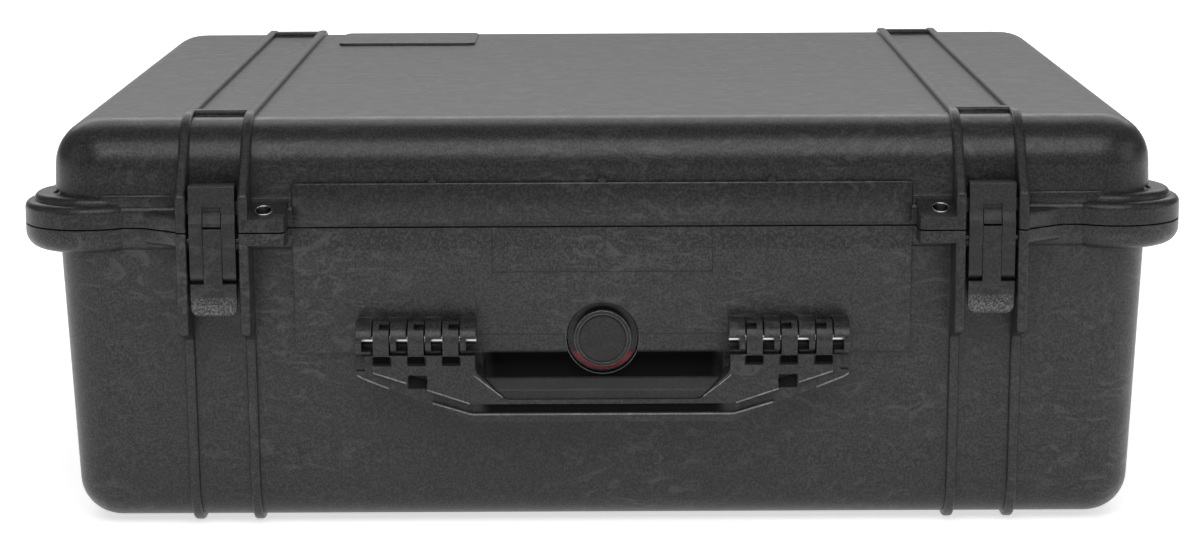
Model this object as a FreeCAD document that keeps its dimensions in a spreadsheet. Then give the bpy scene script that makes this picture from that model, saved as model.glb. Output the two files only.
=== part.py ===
"""Moulded protective case: ribbed base and lid, two double-throw latches,
a folding handle, a pressure valve and two hinges. Millimetres, +Z up, the
front towards -Y, the origin under the middle of the case."""

import FreeCAD
import Part
import Sketcher
import math
import os

# Driving dimensions, by piece
SIZES = {
    # Whole case
    "case_width": 616.0,
    "case_depth": 493.0,
    "parting_height": 166.0,
    "lid_height": 58.0,
    "parting_gap": 0.8,
    "wall": 5.0,
    "base_draft_angle": 2.5,
    "lid_draft_angle": 2.0,
    "overrun": 3.0,
    "pin_clearance": 0.05,
    "slide_clearance": 0.4,
    # Base and lid bodies
    "bumper_reach": 17.0,
    "cheek_reach": 20.5,
    "plan_corner": 30.0,
    "base_edge_round": 22.0,
    "lid_edge_round": 25.0,
    "lid_step": 1.5,
    # Rim and corner bumpers
    "rim_side_reach": 10.0,
    "rim_front_reach": 4.0,
    "rim_round": 4.0,
    "base_rim_round": 9.0,
    "base_rim_height": 13.0,
    "lid_rim_height": 11.8,
    "bumper_radius": 36.0,
    "bumper_front_reach": 6.0,
    "shoulder_inset": 5.0,
    "shoulder_front_inset": 2.0,
    "shoulder_height": 4.0,
    "shoulder_round": 4.0,
    "gusset_thickness": 2.4,
    "gusset_reach": 9.0,
    "gusset_height": 3.0,
    # Stacking ribs
    "rib_height": 3.0,
    "rib_width": 5.4,
    "rib_round": 1.5,
    "rib_inset": 88.7,
    "rib_spacing": 32.6,
    "cheek_round": 7.0,
    "cheek_drop": 54.0,
    "cheek_ramp": 6.0,
    "shoulder_rise": 19.0,
    "shoulder_run": 33.0,
    "crossbar_inset": 53.0,
    "crossbar_width": 7.0,
    "fairing_run": 24.0,
    "fairing_rise": 9.0,
    "fairing_drop": 8.0,
    "fairing_round": 3.0,
    # Front band of the lid, front panel of the base
    "band_height": 24.0,
    "band_root": 12.0,
    "bump_radius": 2.2,
    "bump_spacing": 89.0,
    "trim_round": 1.2,
    "panel_gap": 2.0,
    "panel_height": 68.1,
    "panel_upright": 12.0,
    "panel_slope": 4.6,
    "panel_corner": 4.5,
    "plate_half_width": 58.1,
    "plate_height": 24.1,
    "plate_sink": 0.8,
    # Blank name pad on the lid
    "pad_width": 88.0,
    "pad_depth": 62.0,
    "pad_height": 1.6,
    "pad_centre_x": 126.0,
    "pad_centre_y": 166.0,
    "pad_corner": 5.0,
    # Seal, groove and tongue
    "groove_width": 4.2,
    "groove_depth": 7.6,
    "groove_inset": 3.6,
    "tongue_width": 2.2,
    "seal_height": 3.0,
    "seal_clearance": 0.1,
    # Padlock ears
    "ear_width": 21.7,
    "ear_rise": 13.8,
    "ear_front_rise": 7.1,
    "ear_drop": 6.7,
    "ear_round": 3.5,
    "ear_hole_offset": 10.0,
    "ear_hole_inset": 8.6,
    "bush_inner": 4.0,
    "bush_wall": 0.8,
    "eyelet_sink": 1.0,
    # Hinges
    "hinge_radius": 8.0,
    "hinge_width": 12.0,
    "hinge_pin_radius": 2.5,
    "hinge_root_drop": 13.0,
    "hinge_root_run": 10.0,
    # Latches
    "latch_width": 24.0,
    "tongue_plate_width": 9.6,
    "latch_pin_radius": 1.5,
    "lever_pivot_inset": 5.5,
    "lever_pivot_drop": 4.6,
    "link_pivot_inset": 6.1,
    "link_pivot_drop": 16.6,
    "hook_knuckle": 5.5,
    "hook_top_rise": 24.8,
    "hook_face_step": 1.5,
    "hook_band_low": 5.1,
    "hook_band_high": 9.6,
    "hook_crease_drop": 7.0,
    "hook_crease_step": 0.6,
    "hook_arm": 3.2,
    "hook_inner_low": 10.5,
    "hook_inner_high": 14.0,
    "hook_nose_rise": 16.4,
    "hook_nose_reach": 12.0,
    "hook_cap_thickness": 4.3,
    "hook_cap_low": 3.4,
    "hook_slot_low": 10.7,
    "hook_slot_height": 3.0,
    "hook_slot_depth": 1.6,
    "hook_round": 1.2,
    "catch_height": 7.5,
    "catch_inset": 6.6,
    "lever_top_rise": 6.9,
    "lever_tongue_depth": 10.1,
    "lever_round": 4.6,
    "lever_proud": 0.2,
    "tab_length": 17.0,
    "tab_thickness": 6.0,
    "tab_waist": 2.1,
    "tab_corner": 5.0,
    "tab_round": 1.0,
    # Handle
    "handle_axis_drop": 58.5,
    "handle_knuckle": 9.5,
    "handle_pin_radius": 2.5,
    "handle_pitch": 9.13,
    "handle_knuckle_width": 8.35,
    "handle_outer": 129.6,
    "handle_top_drop": 7.2,
    "handle_face_in": 8.3,
    "handle_lip_in": 4.6,
    "handle_thickness": 8.0,
    "handle_lip": 3.6,
    "handle_lip_drop": 9.7,
    "handle_shoulder_drop": 16.0,
    "handle_lip_end": 2.6,
    "handle_foot_half": 69.0,
    "handle_foot_drop": 33.3,
    "handle_inner_half": 67.0,
    "handle_mouth_half": 51.0,
    "handle_mouth_drop": 31.0,
    "handle_corner": 6.0,
    "handle_edge_round": 0.8,
    "ridge_drop": 5.7,
    "ridge_run": 21.0,
    "ridge_rise": 6.4,
    "handle_slot_height": 4.2,
    "handle_slot_gap": 0.4,
    "window_width": 5.2,
    "window_height": 7.2,
    "window_rise": 2.0,
    "notch_height": 2.6,
    "notch_rise": 6.2,
    "rim_slot_length": 9.8,
    "rim_slot_height": 6.0,
    "rim_slot_x": 97.3,
    "rim_slot_drop": 21.6,
    "rim_slot_turn_angle": 17.3,
    "grip_height": 10.5,
    "grip_back": 9.0,
    "grip_slope": 7.0,
    "grip_core": 3.0,
    "grip_core_height": 8.0,
    "grip_round": 2.4,
    # Finger recess behind the handle
    "recess_half_width": 64.0,
    "recess_height": 37.3,
    "recess_depth": 12.0,
    "recess_round": 5.0,
    # Pressure valve
    "valve_drop": 60.5,
    "valve_pocket": 19.3,
    "valve_seat_depth": 9.5,
    "valve_ring_radius": 18.9,
    "valve_ring_height": 2.2,
    "valve_gasket_height": 0.8,
    "valve_cap_radius": 15.3,
    "valve_cap_height": 7.1,
    "valve_body_height": 2.4,
    "valve_groove_radius": 12.5,
    "valve_groove_width": 0.9,
    "valve_groove_depth": 1.0,
    "valve_stem_radius": 11.0,
    "valve_stem_wall": 2.5,
    "valve_stem_end": 1.2,
    "valve_nut_flats": 32.0,
    "valve_nut_height": 5.0,
    "valve_membrane_height": 0.6,
    "valve_boss_wall": 5.0,
    "valve_round": 0.8,
}

BASE_KNUCKLES = 4
HANDLE_KNUCKLES = 3
HINGE_KNUCKLES = 5
GUSSET_TURNS = (27, 45, 63)
SIDES = (("left", -1), ("right", 1))
ENDS = (("front", -1), ("back", 1))

doc = FreeCAD.newDocument("protective_case")
sheet = doc.addObject("Spreadsheet::Sheet", "Sizes")
for row, (alias, number) in enumerate(SIZES.items(), start=1):
    sheet.set(f"A{row}", alias)
    sheet.set(f"B{row}", str(number))
    sheet.setAlias(f"B{row}", alias)
doc.recompute()


class Size:
    """A length together with the sheet expression that gives it."""

    def __init__(self, value, text):
        self.value = float(value)
        self.text = text

    def __add__(self, other):
        other = sized(other)
        return Size(self.value + other.value, f"({self.text} + {other.text})")

    def __sub__(self, other):
        other = sized(other)
        return Size(self.value - other.value, f"({self.text} - {other.text})")

    def __mul__(self, share):
        return Size(self.value * share, f"({self.text} * {share})")

    def __truediv__(self, share):
        return Size(self.value / share, f"({self.text} / {share})")

    def __neg__(self):
        return Size(-self.value, f"(0 - {self.text})")


def sized(value):
    """A plain zero or a Size, as a Size."""
    return value if isinstance(value, Size) else Size(value, str(value))


def lean(run, angle):
    """Sideways draft over a run of drafted wall."""
    slope = math.tan(math.radians(angle.value))
    return Size(run.value * slope, f"({run.text} * tan({angle.text}))")


class Named:
    """The sheet's cells as Size values."""

    def __init__(self):
        for alias, number in SIZES.items():
            setattr(self, alias, Size(number, f"Sizes.{alias}"))


S = Named()
ZERO = sized(0)


# Places worked out from the driving dimensions
case_top = S.parting_height + S.lid_height
base_top = S.parting_height - S.parting_gap / 2
lid_bottom = S.parting_height + S.parting_gap / 2
lid_top = case_top - S.rib_height
front = -(S.case_depth / 2)
base_half_width = S.case_width / 2 - S.bumper_reach
base_half_depth = S.case_depth / 2 - S.cheek_reach
lid_half_width = base_half_width + S.lid_step
lid_half_depth = base_half_depth + S.lid_step
rim_half_width = base_half_width + S.rim_side_reach
rim_half_depth = base_half_depth + S.rim_front_reach
base_foot_lean = lean(base_top - S.rib_height, S.base_draft_angle)
lid_crown_lean = lean(lid_top - lid_bottom, S.lid_draft_angle)
rib_outer = S.case_width / 2 - S.rib_inset
rib_inner = rib_outer - S.rib_spacing
rib_places = [rib_outer, rib_inner]
latch_centre = rib_outer - S.rib_spacing / 2
hinge_y = S.case_depth / 2 - S.hinge_radius
groove_half_width = rim_half_width - S.rim_side_reach + S.rim_front_reach - S.groove_inset
groove_half_depth = rim_half_depth - S.groove_inset
groove_top = lid_bottom + S.groove_depth
lever_pivot_y = front + S.lever_pivot_inset
lever_pivot_z = S.parting_height - S.lever_pivot_drop
link_pivot_y = front + S.link_pivot_inset
link_pivot_z = lever_pivot_z - S.link_pivot_drop
ear_inner = rib_inner - S.ear_width
ear_hole_x = rib_inner - S.ear_hole_offset
ear_hole_y = front + S.ear_hole_inset
eyelet_low = S.parting_height + S.ear_front_rise - S.eyelet_sink
eyelet_high = S.parting_height + S.ear_rise
bush_outer = S.bush_inner + S.bush_wall
handle_y = front + S.handle_knuckle
handle_z = S.parting_height - S.handle_axis_drop
valve_z = S.parting_height - S.valve_drop
panel_half_width = ear_inner - S.panel_gap
panel_bottom = base_top - S.panel_height
recess_top = panel_bottom
recess_back = -(base_half_depth - S.recess_depth)
valve_seat_y = -(base_half_depth - S.valve_seat_depth)
boss_back = recess_back + S.valve_boss_wall


# Building helpers
def new_body(name):
    return doc.addObject("PartDesign::Body", name)


def new_sketch(body, role, offset=ZERO):
    """An empty sketch on one of the body's origin planes, moved along its normal."""
    sketch = body.newObject("Sketcher::SketchObject", f"{body.Name}_sketch")
    planes = [plane for plane in body.Origin.OriginFeatures if plane.Role == role]
    sketch.AttachmentSupport = [(planes[0], "")]
    sketch.MapMode = "FlatFace"
    sketch.AttachmentOffset = FreeCAD.Placement(
        FreeCAD.Vector(0, 0, offset.value), FreeCAD.Rotation())
    sketch.setExpression("AttachmentOffset.Base.z", offset.text)
    return sketch


def bind(sketch, constraint, size):
    index = sketch.addConstraint(constraint)
    sketch.setExpression(f"Constraints[{index}]", size.text)


def pin_point(sketch, line, end, across, up):
    bind(sketch, Sketcher.Constraint("DistanceX", -1, 1, line, end, across.value), across)
    bind(sketch, Sketcher.Constraint("DistanceY", -1, 1, line, end, up.value), up)


def polygon(body, role, points, offset=ZERO):
    """A closed sketch through points given as pairs of sizes."""
    sketch = new_sketch(body, role, offset)
    points = [(sized(across), sized(up)) for across, up in points]
    corners = [FreeCAD.Vector(across.value, up.value, 0) for across, up in points]
    count = len(points)
    for index in range(count):
        line = Part.LineSegment(corners[index], corners[(index + 1) % count])
        sketch.addGeometry(line, False)
    for index in range(count):
        sketch.addConstraint(Sketcher.Constraint("Coincident", index, 2, (index + 1) % count, 1))
    for index, (across, up) in enumerate(points):
        pin_point(sketch, index, 1, across, up)
    return sketch


def circle(body, role, across, up, radius, offset=ZERO):
    sketch = new_sketch(body, role, offset)
    across, up = sized(across), sized(up)
    centre = FreeCAD.Vector(across.value, up.value, 0)
    sketch.addGeometry(Part.Circle(centre, FreeCAD.Vector(0, 0, 1), radius.value), False)
    pin_point(sketch, 0, 3, across, up)
    bind(sketch, Sketcher.Constraint("Radius", 0, radius.value), radius)
    return sketch


def rounded_rectangle(body, half_width, half_depth, corner, height, centre=(ZERO, ZERO)):
    """A sketch of a rectangle with round corners on a level plane."""
    sketch = new_sketch(body, "XY_Plane", height)
    middle_x, middle_y = centre
    left, right = middle_x - half_width, middle_x + half_width
    low, high = middle_y - half_depth, middle_y + half_depth
    turn = math.pi / 2
    normal = FreeCAD.Vector(0, 0, 1)
    places = [(right, low, 3), (right, high, 0), (left, high, 1), (left, low, 2)]
    ends = []
    for across, up, quarter in places:
        inward_x = -corner.value if across is right else corner.value
        inward_y = -corner.value if up is high else corner.value
        hub = FreeCAD.Vector(across.value + inward_x, up.value + inward_y, 0)
        arc = Part.ArcOfCircle(Part.Circle(hub, normal, corner.value),
                               quarter * turn, (quarter + 1) * turn)
        ends.append((arc.StartPoint, arc.EndPoint))
        sketch.addGeometry(arc, False)
    for index in range(4):
        start, end = ends[index][1], ends[(index + 1) % 4][0]
        sketch.addGeometry(Part.LineSegment(start, end), False)
    for index in range(4):
        line = 4 + index
        sketch.addConstraint(Sketcher.Constraint("Tangent", index, 2, line, 1))
        sketch.addConstraint(Sketcher.Constraint("Tangent", line, 2, (index + 1) % 4, 1))
    for line, kind in ((4, "Vertical"), (5, "Horizontal"), (6, "Vertical"), (7, "Horizontal")):
        sketch.addConstraint(Sketcher.Constraint(kind, line))
    for index in range(3):
        sketch.addConstraint(Sketcher.Constraint("Equal", index, index + 1))
    bind(sketch, Sketcher.Constraint("Radius", 0, corner.value), corner)
    bind(sketch, Sketcher.Constraint("DistanceX", -1, 1, 4, 1, right.value), right)
    bind(sketch, Sketcher.Constraint("DistanceX", -1, 1, 6, 1, left.value), left)
    bind(sketch, Sketcher.Constraint("DistanceY", -1, 1, 5, 1, high.value), high)
    bind(sketch, Sketcher.Constraint("DistanceY", -1, 1, 7, 1, low.value), low)
    return sketch


def pad(body, sketch, length, symmetric=False, backwards=False):
    feature = body.newObject("PartDesign::Pad", f"{body.Name}_pad")
    feature.Profile = sketch
    feature.setExpression("Length", length.text)
    feature.SideType = "Symmetric" if symmetric else "One side"
    feature.Reversed = backwards
    doc.recompute()
    return feature


def round_edges(body, radius, chosen):
    """Fillet the edges of the body that the test picks."""
    base = body.Tip
    names = [f"Edge{index}" for index, edge in enumerate(base.Shape.Edges, start=1) if chosen(edge)]
    if not names:
        raise ValueError(f"no edge to round on {body.Name}")
    fillet = body.newObject("PartDesign::Fillet", f"{body.Name}_round")
    fillet.Base = (base, names)
    fillet.setExpression("Radius", radius.text)
    doc.recompute()
    if fillet.Shape.isNull() or not fillet.Shape.isValid():
        raise ValueError(f"rounding failed on {body.Name}")
    return fillet


def close(one, other):
    return abs(one - other) < 1e-4


def level_edges(height):
    """A test for edges that lie in one level plane."""
    def test(edge):
        return all(close(vertex.Z, height.value) for vertex in edge.Vertexes)
    return test


AXES = {"YZ_Plane": (1, 2, 0), "XZ_Plane": (0, 2, 1), "XY_Plane": (0, 1, 2)}


def corner_edges(role, places):
    """A test for the straight edges that stand on named points of a profile."""
    across, up, along = AXES[role]

    def test(edge):
        ends = [vertex.Point for vertex in edge.Vertexes]
        if len(ends) != 2 or close(ends[0][along], ends[1][along]):
            return False
        return any(all(close(end[across], sized(place[0]).value) and close(end[up], sized(place[1]).value)
                       for end in ends) for place in places)
    return test


def face_edges(role, levels, keep):
    """A test for the outline edges of a plate's two faces, where keep says so."""
    across, up, along = AXES[role]

    def test(edge):
        ends = [vertex.Point for vertex in edge.Vertexes]
        if not any(all(close(end[along], level) for end in ends) for level in levels):
            return False
        middle = edge.valueAt((edge.FirstParameter + edge.LastParameter) / 2)
        return keep(middle[across], middle[up])
    return test


def plate(name, role, points, thickness, middle=ZERO, rounds=(), crest=None, keep=None):
    """A padded profile: corners rounded first, then the crest on both faces."""
    body = new_body(name)
    middle = sized(middle)
    offset = -middle if role == "XZ_Plane" else middle
    pad(body, polygon(body, role, points, offset), thickness, symmetric=True)
    for radius, places in rounds:
        round_edges(body, radius, corner_edges(role, [points[place] for place in places]))
    if crest is not None:
        levels = [middle.value - thickness.value / 2, middle.value + thickness.value / 2]
        round_edges(body, crest, face_edges(role, levels, keep))
    return body


TURNS = {"X": FreeCAD.Rotation(FreeCAD.Vector(0, 1, 0), 90),
         "Y": FreeCAD.Rotation(FreeCAD.Vector(1, 0, 0), -90),
         "Z": FreeCAD.Rotation()}


def place(thing, spot, turn=None):
    thing.Placement = FreeCAD.Placement(FreeCAD.Vector(0, 0, 0), turn or FreeCAD.Rotation())
    for axis, size in zip("xyz", spot):
        thing.setExpression(f"Placement.Base.{axis}", sized(size).text)


def rod(name, axis, radius, length, spot):
    """A round bar that starts at a spot and runs along an axis."""
    bar = doc.addObject("Part::Cylinder", name)
    bar.setExpression("Radius", radius.text)
    bar.setExpression("Height", length.text)
    place(bar, spot, TURNS[axis])
    return bar


def fuse(name, pieces):
    joined = doc.addObject("Part::MultiFuse", name)
    joined.Shapes = pieces
    joined.Refine = True
    return joined


def cut(name, base, tools):
    """The base less all the tools."""
    result = doc.addObject("Part::Cut", name)
    result.Base = base
    result.Tool = tools[0] if len(tools) == 1 else fuse(f"{name}_tools", tools)
    result.Refine = False
    return result


def tub(name, mouth, floor, half_width, half_depth, corner, edge_round, draft):
    """A drafted block between its mouth and its floor, with a round floor edge."""
    body = new_body(name)
    run = floor - mouth if floor.value > mouth.value else mouth - floor
    inset = lean(run, draft)
    wide = rounded_rectangle(body, half_width, half_depth, corner, mouth)
    narrow = rounded_rectangle(body, half_width - inset, half_depth - inset, corner - inset, floor)
    loft = body.newObject("PartDesign::AdditiveLoft", f"{name}_loft")
    upright = floor.value > mouth.value
    loft.Profile = narrow if upright else wide
    loft.Sections = [wide if upright else narrow]
    loft.Ruled = True
    doc.recompute()
    round_edges(body, edge_round, level_edges(floor))
    return body


def slab(name, half_width, half_depth, corner, low, high, edge_round=None, edge=None):
    """A level plate with round plan corners and one round edge."""
    body = new_body(name)
    pad(body, rounded_rectangle(body, half_width, half_depth, corner, low), high - low)
    if edge_round is not None:
        round_edges(body, edge_round, level_edges(edge))
    return body


def disc(name, across, up, radius, low, high, edge_round, edge):
    """A level round plate with one round edge."""
    body = new_body(name)
    pad(body, circle(body, "XY_Plane", across, up, radius, low), high - low)
    round_edges(body, edge_round, level_edges(edge))
    return body


def ring(name, half_width, half_depth, corner, width, low, high):
    """A rectangular frame with round corners, as wide as given about its centre line."""
    outer = slab(f"{name}_outer", half_width + width / 2, half_depth + width / 2,
                 corner + width / 2, low, high)
    inner = slab(f"{name}_inner", half_width - width / 2, half_depth - width / 2,
                 corner - width / 2, low - S.overrun, high + S.overrun)
    return cut(name, outer, [inner])


def turned(name, points, spot):
    """A profile of (distance along Y, radius) pairs turned about the valve's axis."""
    body = new_body(name)
    sketch = polygon(body, "YZ_Plane", points)
    feature = body.newObject("PartDesign::Revolution", f"{name}_turn")
    feature.Profile = sketch
    feature.ReferenceAxis = (sketch, ["H_Axis"])
    feature.Angle = 360
    doc.recompute()
    place(body, spot)
    return body


def bumper_places():
    """The plan centre of each corner bumper, with its name and signs."""
    across = S.case_width / 2 - S.bumper_radius
    along = rim_half_depth + S.bumper_front_reach - S.bumper_radius
    for end_name, end in ENDS:
        for side_name, side in SIDES:
            yield f"{end_name}_{side_name}", across * side, along * end, side, end


def rim_pieces(name, low, high, edge_round, round_level):
    """The rim's plate with its four corner bumpers."""
    plan_corner = S.plan_corner + S.rim_front_reach
    pieces = [slab(f"{name}_plate", rim_half_width, rim_half_depth, plan_corner, low, high,
                   edge_round, round_level)]
    for label, across, along, _, _ in bumper_places():
        pieces.append(disc(f"{name}_bumper_{label}", across, along, S.bumper_radius, low, high,
                           edge_round, round_level))
    return pieces


def corner_gussets():
    """Short radial webs between the lid's corners and its bumpers."""
    pieces = []
    top = lid_bottom + S.lid_rim_height
    reach = S.bumper_radius - S.shoulder_inset + S.gusset_reach / 2
    root = reach - S.gusset_reach * 2
    crown = top + S.shoulder_height + S.gusset_height
    for label, across, along, side, end in bumper_places():
        for count, turn in enumerate(GUSSET_TURNS):
            name = f"gusset_{label}_{count}"
            points = [(root, top - S.rim_round), (reach, top - S.rim_round), (root, crown)]
            web = plate(name, "XZ_Plane", points, S.gusset_thickness)
            heading = math.degrees(math.atan2(end * math.sin(math.radians(turn)),
                                              side * math.cos(math.radians(turn))))
            place(web, (across, along, ZERO), FreeCAD.Rotation(FreeCAD.Vector(0, 0, 1), heading))
            pieces.append(web)
    return pieces


def shoulder_pieces():
    """The raised step on top of the lid's rim, higher over its corners."""
    low = lid_bottom
    high = lid_bottom + S.lid_rim_height + S.shoulder_height
    plan_corner = S.plan_corner + S.rim_front_reach - S.shoulder_inset
    pieces = [slab("shoulder_plate", rim_half_width - S.shoulder_inset,
                   rim_half_depth - S.shoulder_front_inset, plan_corner, low, high, S.trim_round, high)]
    for label, across, along, _, _ in bumper_places():
        pieces.append(disc(f"shoulder_bumper_{label}", across, along, S.bumper_radius - S.shoulder_inset,
                           low, high, S.shoulder_round, high))
    return pieces


def base_ribs():
    """Stacking ribs round the base, deep at the front as the latch cheeks."""
    foot = base_half_depth - base_foot_lean + S.rib_height
    cheek_foot = base_top - S.cheek_drop
    cheek_root = base_half_depth - lean(S.cheek_drop, S.base_draft_angle) + S.rib_height
    points = [
        (front, base_top),
        (front, cheek_foot),
        (-cheek_root, cheek_foot - S.cheek_ramp),
        (-foot, ZERO),
        (foot, ZERO),
        (base_half_depth + S.rib_height, base_top),
    ]
    rounds = [(S.base_edge_round + S.rib_height, (3, 4)), (S.cheek_round, (1,)),
              (S.cheek_round / 2, (2,))]
    pieces = []
    for side_name, side in SIDES:
        for index, spot in enumerate(rib_places):
            pieces.append(plate(f"base_rib_{side_name}_{index}", "YZ_Plane", points, S.rib_width,
                                spot * side, rounds, S.rib_round,
                                lambda across, up: not close(up, base_top.value)))
    return pieces


def lid_ribs():
    """Stacking ribs over the lid, deep at the front as the latch cheeks."""
    crest = lid_half_depth - lid_crown_lean + S.rib_height
    points = [
        (front, lid_bottom),
        (front, S.parting_height + S.shoulder_rise),
        (front + S.shoulder_run, case_top),
        (crest, case_top),
        (lid_half_depth + S.lid_step, lid_bottom),
    ]
    rounds = [(S.lid_edge_round + S.rib_height, (2, 3)), (S.rib_height, (1,))]
    pieces = []
    for side_name, side in SIDES:
        for index, spot in enumerate(rib_places):
            pieces.append(plate(f"lid_rib_{side_name}_{index}", "YZ_Plane", points, S.rib_width,
                                spot * side, rounds, S.rib_round,
                                lambda across, up: not close(up, lid_bottom.value)))
    return pieces


def band_bumps(band_top):
    """Three small half-round stops on top of the lid's front band."""
    length = S.band_root - S.bump_radius
    return [rod(f"band_bump_{count}", "Y", S.bump_radius, length,
                (S.bump_spacing * count, -rim_half_depth, band_top)) for count in (-1, 0, 1)]


def lid_crossbars():
    """Low bars that join each pair of ribs near the front and back of the lid."""
    pieces = []
    for end_name, end in ENDS:
        middle = (S.case_depth / 2 - S.crossbar_inset) * end
        for side_name, side in SIDES:
            points = [(middle - S.crossbar_width / 2, lid_top - S.wall / 2),
                      (middle - S.crossbar_width / 2, case_top),
                      (middle + S.crossbar_width / 2, case_top),
                      (middle + S.crossbar_width / 2, lid_top - S.wall / 2)]
            pieces.append(plate(f"crossbar_{end_name}_{side_name}", "YZ_Plane", points, S.rib_spacing,
                                latch_centre * side, [(S.rib_round, (1, 2))]))
    return pieces


def fairings(owner, low, high, round_level):
    """Wedges that lead the rim out to the outer latch cheeks."""
    pieces = []
    for side_name, side in SIDES:
        tip = (rib_outer * side, front + S.rib_round)
        end = ((rib_outer + S.fairing_run) * side, -rim_half_depth + S.rib_round)
        body = new_body(f"{owner}_fairing_{side_name}")
        points = [tip, end, (rib_outer * side, -rim_half_depth + S.rib_round)]
        pad(body, polygon(body, "XY_Plane", points, low), high - low)
        round_edges(body, S.fairing_round, lambda edge: level_edges(round_level)(edge) and slanted(edge))
        pieces.append(body)
    return pieces


def slanted(edge):
    """A test for an edge that runs along neither X nor Y."""
    start, end = [vertex.Point for vertex in edge.Vertexes]
    return not close(start.x, end.x) and not close(start.y, end.y)


def knuckle_pieces(name, middle, width, hub_y, hub_z, radius, root_points):
    """A hinge knuckle: a round barrel and the root that carries it."""
    barrel = rod(f"{name}_barrel", "X", radius, width, (middle - width / 2, hub_y, hub_z))
    root = plate(f"{name}_root", "YZ_Plane", root_points, width, middle)
    return [barrel, root]


def hinge_pieces(owner):
    """The back hinge knuckles of the base or the lid; the two interleave."""
    on_base = owner == "base"
    face = base_top if on_base else lid_bottom
    drop = -S.hinge_root_drop if on_base else S.hinge_root_drop
    tangent = S.parting_height - S.hinge_radius if on_base else S.parting_height + S.hinge_radius
    root = [(base_half_depth - S.wall / 2, face), (hinge_y, face), (hinge_y, tangent),
            (hinge_y - S.hinge_root_run, face + drop), (base_half_depth - S.wall / 2, face + drop)]
    pieces = []
    first = 0 if on_base else 1
    for side_name, side in SIDES:
        for index in range(first, HINGE_KNUCKLES, 2):
            middle = latch_centre * side + S.hinge_width * (index - (HINGE_KNUCKLES - 1) / 2)
            pieces += knuckle_pieces(f"{owner}_hinge_{side_name}_{index}", middle,
                                     S.hinge_width - S.slide_clearance, hinge_y, S.parting_height,
                                     S.hinge_radius, root)
    return pieces


def hinge_pin_spot(side):
    length = S.hinge_width * HINGE_KNUCKLES - S.slide_clearance
    return (latch_centre * side - length / 2, hinge_y, S.parting_height), length


def base_ears():
    """Lower padlock ears beside the latches."""
    points = [(-(base_half_depth - S.wall / 2), base_top), (front, base_top),
              (front, S.parting_height - S.ear_drop),
              (-(base_half_depth - S.wall / 2), S.parting_height - S.ear_drop)]
    pieces = []
    for side_name, side in SIDES:
        ear = plate(f"base_ear_{side_name}", "YZ_Plane", points, S.ear_width,
                    (ear_inner + S.ear_width / 2) * side)
        inner = ear_inner * side
        round_edges(ear, S.ear_round, corner_edges("XY_Plane", [(inner, front)]))
        pieces.append(ear)
    return pieces


def lid_ears():
    """Upper padlock ears, sloping up to the lid's band."""
    points = [(-(base_half_depth - S.wall / 2), lid_bottom), (front, lid_bottom),
              (front, S.parting_height + S.ear_front_rise),
              (-rim_half_depth, S.parting_height + S.ear_rise),
              (-(base_half_depth - S.wall / 2), S.parting_height + S.ear_rise)]
    pieces = []
    for side_name, side in SIDES:
        ear = plate(f"lid_ear_{side_name}", "YZ_Plane", points, S.ear_width,
                    (ear_inner + S.ear_width / 2) * side)
        inner = ear_inner * side
        round_edges(ear, S.ear_round, corner_edges("XY_Plane", [(inner, front)]))
        pieces.append(ear)
    return pieces


def ear_holes(name, radius, low, high):
    """Upright holes through the padlock ears."""
    return [rod(f"{name}_{side_name}", "Z", radius, high - low,
                (ear_hole_x * side, ear_hole_y, low)) for side_name, side in SIDES]


def catch_bars():
    """Bars between the lid's latch cheeks that the hooks hold down."""
    top = S.parting_height + S.hook_nose_rise - S.slide_clearance
    points = [(front + S.catch_inset, top - S.catch_height), (front + S.catch_inset, top),
              (-(lid_half_depth - S.wall / 2), top), (-(lid_half_depth - S.wall / 2), top - S.catch_height)]
    return [plate(f"catch_{side_name}", "YZ_Plane", points, S.rib_spacing, latch_centre * side,
                  [(S.hook_round, (0, 1))]) for side_name, side in SIDES]


def panel_profile(sink):
    """The front panel's face, upright above and sloping back below, sunk by a depth."""
    face = -rim_half_depth + sink
    return [(face, base_top), (face, base_top - S.panel_upright), (face + S.panel_slope, panel_bottom)]


def front_panel():
    """The thicker panel on the base's front, and the blank name plate's cut."""
    root = -(base_half_depth - S.wall)
    points = panel_profile(ZERO) + [(root, panel_bottom), (root, base_top)]
    panel = plate("front_panel", "YZ_Plane", points, panel_half_width * 2)
    low_corners = [(panel_half_width * side, panel_bottom) for _, side in SIDES]
    round_edges(panel, S.panel_corner, corner_edges("XZ_Plane", low_corners))
    face, upright, _ = panel_profile(S.plate_sink)
    fall = S.plate_height - S.panel_upright
    drift = S.panel_slope.value / (S.panel_height.value - S.panel_upright.value)
    low = (upright[0] + fall * drift, base_top - S.plate_height)
    outside = -rim_half_depth - S.overrun
    sunk = [(face[0], base_top + S.overrun), upright, low, (outside, low[1]),
            (outside, base_top + S.overrun)]
    plate_cut = plate("name_plate_cut", "YZ_Plane", sunk, S.plate_half_width * 2)
    return panel, plate_cut


def handle_knuckle_middles(first, count):
    """Centres of every second knuckle, counted inwards from the handle's end."""
    outer = S.handle_outer - S.handle_knuckle_width / 2
    return [outer - S.handle_pitch * (first + 2 * index) for index in range(count)]


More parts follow.
